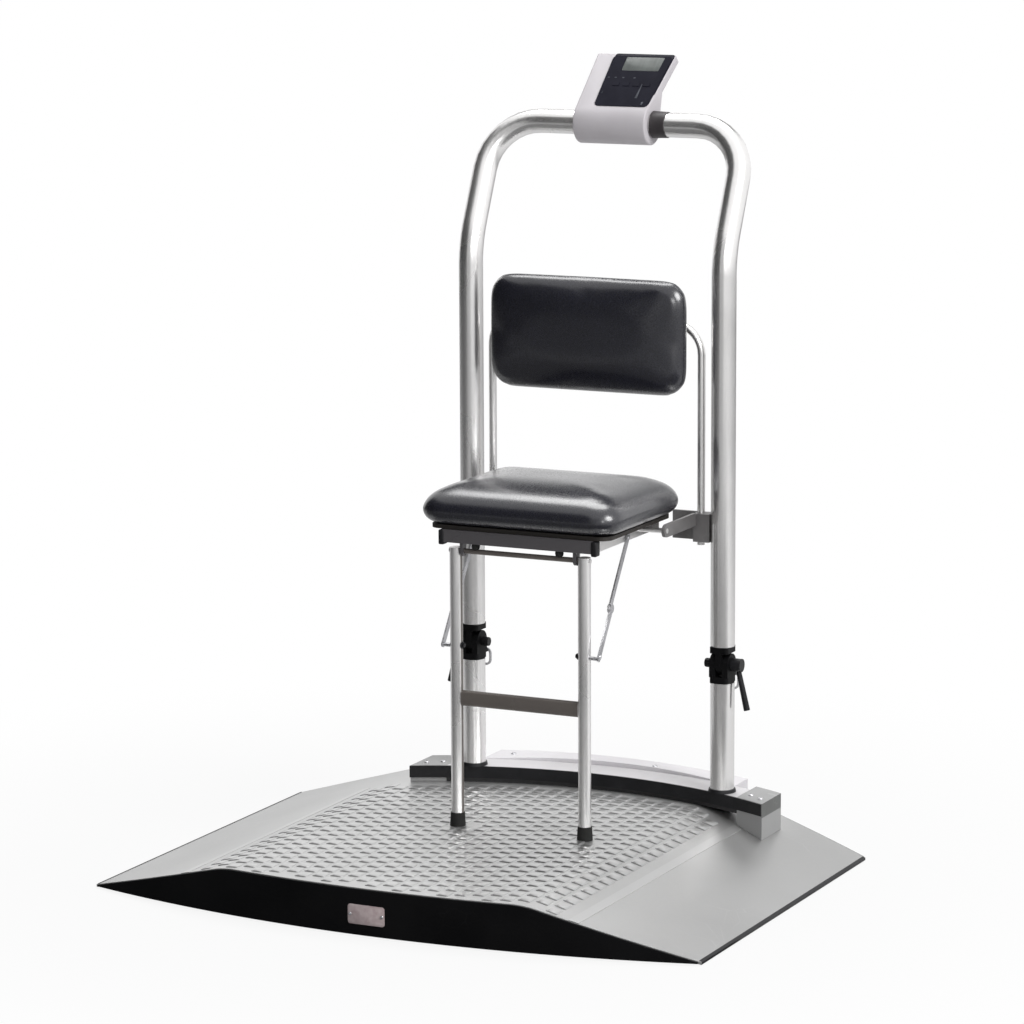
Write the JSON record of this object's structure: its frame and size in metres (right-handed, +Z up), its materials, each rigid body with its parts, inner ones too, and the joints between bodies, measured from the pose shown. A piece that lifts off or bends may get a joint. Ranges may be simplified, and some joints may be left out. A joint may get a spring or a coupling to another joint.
{
  "type": "wheelchair scale",
  "caption": "Ramped floor platform with a rear beam, a bent-tube handrail on fold hinges, a padded folding seat on legs, a padded backrest and a tilting display head.",
  "frame": {"origin": "bottom centre of the whole scale's box, on the floor under the feet", "axes": "+Z up; the two ramps run along X; the seat faces -Y, and the beam, handrail and display stand towards +Y"},
  "size_m": [1, 0.8272, 1.229],
  "materials": {
    "satin_silver": "satin",
    "satin_deck": "satin",
    "pale_grey": "satin",
    "black_plastic": "matte",
    "black_steel": "matte",
    "rubber": "matte",
    "leatherette": "satin",
    "zinc_steel": "satin",
    "display_window": "gloss",
    "seat_board": "matte"
  },
  "bodies": {
    "base": {"deck": "satin_deck", "skirt_front": "black_steel", "skirt_rear": "black_steel", "under_frame": "black_steel", "load_cell_front_left": "zinc_steel", "load_cell_front_right": "zinc_steel", "load_cell_rear_left": "zinc_steel", "load_cell_rear_right": "zinc_steel", "beam_body": "pale_grey", "beam_fascia": "black_plastic", "beam_cover": "pale_grey", "end_block_left": "pale_grey", "end_block_right": "pale_grey", "base_ring_left": "black_plastic", "base_ring_right": "black_plastic", "post_stub_left": "satin_silver", "post_stub_right": "satin_silver", "hinge_fork_left": "black_steel", "hinge_fork_right": "black_steel"},
    "rail": {"handrail": "satin_silver", "hinge_tongue_left": "black_steel", "hinge_tongue_right": "black_steel", "seat_bracket_left": "satin_silver", "seat_bracket_right": "satin_silver", "backrest_tube": "satin_silver", "backrest_board": "seat_board", "backrest_pad": "leatherette", "clutch_collar": "black_plastic"},
    "head": {"head_housing": "pale_grey", "head_panel": "black_plastic", "display_window": "display_window"},
    "seat": {"seat_frame": "satin_silver", "seat_board": "seat_board", "seat_cushion": "leatherette"},
    "legs": {"leg_frame": "satin_silver", "ferrule_left": "rubber", "ferrule_right": "rubber"},
    "stays_upper": {"stay_upper_left": "zinc_steel", "stay_upper_right": "zinc_steel"},
    "stays_lower": {"stay_lower_left": "zinc_steel", "stay_lower_right": "zinc_steel"},
    "foot_front_left": {"foot_front_left": "rubber"},
    "foot_front_right": {"foot_front_right": "rubber"},
    "foot_rear_left": {"foot_rear_left": "rubber"},
    "foot_rear_right": {"foot_rear_right": "rubber"},
    "clamp_lever_left": {"clamp_lever_left": "black_plastic"},
    "release_knob_left": {"release_knob_left": "black_plastic"},
    "pull_ring_left": {"pull_ring_left": "zinc_steel"},
    "clamp_lever_right": {"clamp_lever_right": "black_plastic"},
    "release_knob_right": {"release_knob_right": "black_plastic"},
    "pull_ring_right": {"pull_ring_right": "zinc_steel"},
    "key_1": {"key_1": "black_plastic"},
    "key_2": {"key_2": "black_plastic"},
    "key_3": {"key_3": "black_plastic"},
    "key_4": {"key_4": "black_plastic"}
  },
  "joints": [
    {"name": "foot_front_left_turn", "type": "hinge", "parent": "base", "child": "foot_front_left", "pos_m": [-0.2, -0.23929, 0], "axis": [0, 0, 1], "continuous": true},
    {"name": "foot_front_right_turn", "type": "hinge", "parent": "base", "child": "foot_front_right", "pos_m": [0.2, -0.23929, 0], "axis": [0, 0, 1], "continuous": true},
    {"name": "foot_rear_left_turn", "type": "hinge", "parent": "base", "child": "foot_rear_left", "pos_m": [-0.2, 0.20071, 0], "axis": [0, 0, 1], "continuous": true},
    {"name": "foot_rear_right_turn", "type": "hinge", "parent": "base", "child": "foot_rear_right", "pos_m": [0.2, 0.20071, 0], "axis": [0, 0, 1], "continuous": true},
    {"name": "clamp_lever_left_turn", "type": "hinge", "parent": "base", "child": "clamp_lever_left", "pos_m": [-0.1778, 0.25271, 0.3015], "axis": [1, 0, 0], "range_deg": [-20, 120]},
    {"name": "release_knob_left_pull", "type": "slide", "parent": "base", "child": "release_knob_left", "axis": [1, 0, 0], "range_m": [0, 0.006], "stiffness_N_per_m": 800},
    {"name": "pull_ring_left_swing", "type": "hinge", "parent": "base", "child": "pull_ring_left", "pos_m": [-0.1535, 0.29771, 0.2756], "axis": [0, 1, 0], "range_deg": [-35, 35]},
    {"name": "clamp_lever_right_turn", "type": "hinge", "parent": "base", "child": "clamp_lever_right", "pos_m": [0.3028, 0.25271, 0.3015], "axis": [1, 0, 0], "range_deg": [-20, 120]},
    {"name": "release_knob_right_pull", "type": "slide", "parent": "base", "child": "release_knob_right", "axis": [-1, 0, 0], "range_m": [0, 0.006], "stiffness_N_per_m": 800},
    {"name": "pull_ring_right_swing", "type": "hinge", "parent": "base", "child": "pull_ring_right", "pos_m": [0.2785, 0.29771, 0.2756], "axis": [0, 1, 0], "range_deg": [-35, 35]},
    {"name": "handrail_fold", "type": "hinge", "parent": "base", "child": "rail", "pos_m": [0.0625, 0.25271, 0.3015], "axis": [-1, 0, 0], "range_deg": [0, 90]},
    {"name": "display_tilt", "type": "hinge", "parent": "rail", "child": "head", "pos_m": [0.0625, 0.33944, 1.126], "axis": [1, 0, 0], "range_deg": [-25, 60]},
    {"name": "key_1_press", "type": "slide", "parent": "head", "child": "key_1", "axis": [0, 0.682, -0.7314], "range_m": [0, 0.0008], "stiffness_N_per_m": 500},
    {"name": "key_2_press", "type": "slide", "parent": "head", "child": "key_2", "axis": [0, 0.682, -0.7314], "range_m": [0, 0.0008], "stiffness_N_per_m": 500},
    {"name": "key_3_press", "type": "slide", "parent": "head", "child": "key_3", "axis": [0, 0.682, -0.7314], "range_m": [0, 0.0008], "stiffness_N_per_m": 500},
    {"name": "key_4_press", "type": "slide", "parent": "head", "child": "key_4", "axis": [0, 0.682, -0.7314], "range_m": [0, 0.0008], "stiffness_N_per_m": 500},
    {"name": "seat_fold", "type": "hinge", "parent": "rail", "child": "seat", "pos_m": [0.0625, 0.13071, 0.528], "axis": [-1, 0, 0], "range_deg": [0, 88]},
    {"name": "leg_fold", "type": "hinge", "parent": "seat", "child": "legs", "pos_m": [0.0625, -0.02129, 0.5024], "axis": [1, 0, 0], "range_deg": [0, 90]},
    {"name": "stay_upper_turn", "type": "hinge", "parent": "seat", "child": "stays_upper", "pos_m": [0.0625, 0.09171, 0.5224], "axis": [1, 0, 0], "range_deg": [0, 116]},
    {"name": "stay_lower_turn", "type": "hinge", "parent": "legs", "child": "stays_lower", "pos_m": [0.0625, -0.02129, 0.3544], "axis": [1, 0, 0], "range_deg": [-147, 0]}
  ],
  "couplings": [
    {"joint": "stay_upper_turn", "follows": "leg_fold", "ratio": 1.2775},
    {"joint": "stay_lower_turn", "follows": "leg_fold", "ratio": -1.6123}
  ]
}
